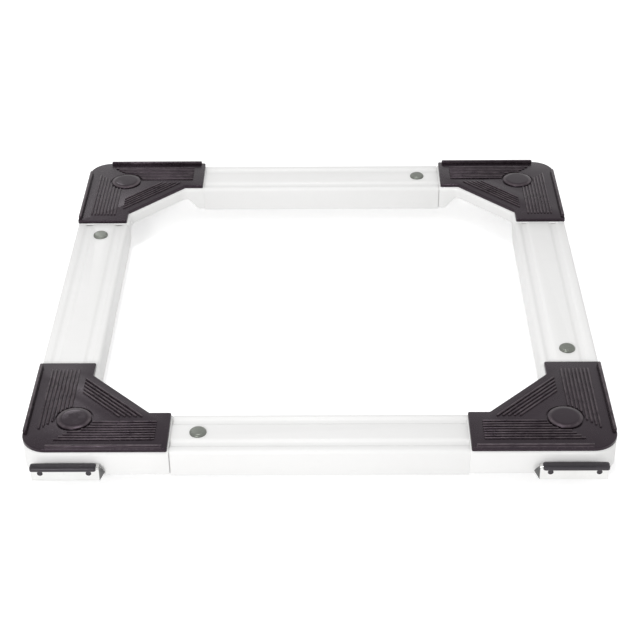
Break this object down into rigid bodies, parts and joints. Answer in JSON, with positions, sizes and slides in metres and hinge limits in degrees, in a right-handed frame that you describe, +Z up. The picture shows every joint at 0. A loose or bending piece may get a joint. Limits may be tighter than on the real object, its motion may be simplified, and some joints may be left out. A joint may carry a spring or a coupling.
{
  "type": "adjustable appliance trolley",
  "caption": "Low square steel frame on wheels with telescoping sides, ribbed rubber corner pads and foot brakes, for moving a heavy appliance.",
  "frame": {"origin": "on the floor under the middle of the closed trolley's outline, pedals included", "axes": "+Z up, +X to the right, the pedals on the -Y side (front)"},
  "size_m": [0.45, 0.4566, 0.0416],
  "materials": {
    "white_paint": "white powder coat on pressed sheet steel, satin",
    "pad_rubber": "dark brown-black moulded rubber with fine ribs",
    "zinc_screw": "dull zinc plate",
    "zinc_bracket": "zinc-plated pressed steel",
    "pin_steel": "plain steel pins and rivets",
    "chrome_pedal": "bright nickel-chrome plate",
    "grip_rubber": "black rubber",
    "hub_plastic": "grey moulded plastic",
    "tyre_rubber": "black solid rubber tyre",
    "washer_nylon": "natural nylon"
  },
  "bodies": {
    "front_left": {"corner_front_left": "white_paint", "outer_channel_left": "white_paint", "inner_channel_front": "white_paint", "pad_front_left": "pad_rubber", "clamp_screw_left": "zinc_screw", "clamp_nut_left": "zinc_screw", "roller_bracket_left": "zinc_bracket", "roller_axle_left": "pin_steel", "front_rivets_left": "pin_steel", "pedal_bracket_left": "zinc_bracket", "pedal_pin_left": "pin_steel"},
    "front_right": {"corner_front_right": "white_paint", "outer_channel_front": "white_paint", "inner_channel_right": "white_paint", "pad_front_right": "pad_rubber", "clamp_screw_front": "zinc_screw", "clamp_nut_front": "zinc_screw", "roller_bracket_right": "zinc_bracket", "roller_axle_right": "pin_steel", "front_rivets_right": "pin_steel", "pedal_bracket_right": "zinc_bracket", "pedal_pin_right": "pin_steel"},
    "rear_right": {"corner_rear_right": "white_paint", "outer_channel_right": "white_paint", "inner_channel_rear": "white_paint", "pad_rear_right": "pad_rubber", "clamp_screw_right": "zinc_screw", "clamp_nut_right": "zinc_screw", "caster_plate_right": "zinc_bracket", "king_pin_right": "pin_steel", "thrust_washer_right": "washer_nylon"},
    "rear_left": {"corner_rear_left": "white_paint", "outer_channel_rear": "white_paint", "inner_channel_left": "white_paint", "pad_rear_left": "pad_rubber", "clamp_screw_rear": "zinc_screw", "clamp_nut_rear": "zinc_screw", "caster_plate_left": "zinc_bracket", "king_pin_left": "pin_steel", "thrust_washer_left": "washer_nylon"},
    "pedal_left": {"pedal_lever_left": "chrome_pedal", "pedal_grip_left": "grip_rubber", "brake_shoe_left": "grip_rubber"},
    "roller_left": {"roller_hub_left": "hub_plastic", "roller_tyre_left": "tyre_rubber"},
    "swivel_left": {"caster_fork_left": "zinc_bracket", "caster_axle_left": "pin_steel"},
    "caster_wheel_left": {"caster_hub_left": "hub_plastic", "caster_tyre_left": "tyre_rubber"},
    "pedal_right": {"pedal_lever_right": "chrome_pedal", "pedal_grip_right": "grip_rubber", "brake_shoe_right": "grip_rubber"},
    "roller_right": {"roller_hub_right": "hub_plastic", "roller_tyre_right": "tyre_rubber"},
    "swivel_right": {"caster_fork_right": "zinc_bracket", "caster_axle_right": "pin_steel"},
    "caster_wheel_right": {"caster_hub_right": "hub_plastic", "caster_tyre_right": "tyre_rubber"}
  },
  "joints": [
    {"name": "width_slide", "type": "slide", "parent": "front_left", "child": "front_right", "axis": [1, 0, 0], "range_m": [0, 0.1652]},
    {"name": "depth_slide_left", "type": "slide", "parent": "front_left", "child": "rear_left", "axis": [0, 1, 0], "range_m": [0, 0.1632]},
    {"name": "depth_slide_right", "type": "slide", "parent": "front_right", "child": "rear_right", "axis": [0, 1, 0], "range_m": [0, 0.1632]},
    {"name": "pedal_hinge_left", "type": "hinge", "parent": "front_left", "child": "pedal_left", "pos_m": [-0.19075, -0.2067, 0.0195], "axis": [1, 0, 0], "range_deg": [0, 14]},
    {"name": "roller_spin_left", "type": "hinge", "parent": "front_left", "child": "roller_left", "pos_m": [-0.188, -0.1827, 0.014], "axis": [1, 0, 0], "continuous": true},
    {"name": "caster_swivel_left", "type": "hinge", "parent": "rear_left", "child": "swivel_left", "pos_m": [-0.188, 0.1913, 0.03], "axis": [0, 0, 1], "continuous": true},
    {"name": "caster_spin_left", "type": "hinge", "parent": "swivel_left", "child": "caster_wheel_left", "pos_m": [-0.188, 0.2003, 0.014], "axis": [1, 0, 0], "continuous": true},
    {"name": "pedal_hinge_right", "type": "hinge", "parent": "front_right", "child": "pedal_right", "pos_m": [0.19075, -0.2067, 0.0195], "axis": [1, 0, 0], "range_deg": [0, 14]},
    {"name": "roller_spin_right", "type": "hinge", "parent": "front_right", "child": "roller_right", "pos_m": [0.188, -0.1827, 0.014], "axis": [1, 0, 0], "continuous": true},
    {"name": "caster_swivel_right", "type": "hinge", "parent": "rear_right", "child": "swivel_right", "pos_m": [0.188, 0.1913, 0.03], "axis": [0, 0, 1], "continuous": true},
    {"name": "caster_spin_right", "type": "hinge", "parent": "swivel_right", "child": "caster_wheel_right", "pos_m": [0.188, 0.2003, 0.014], "axis": [1, 0, 0], "continuous": true}
  ],
  "couplings": [
    {"joint": "depth_slide_right", "follows": "depth_slide_left", "ratio": 1}
  ]
}
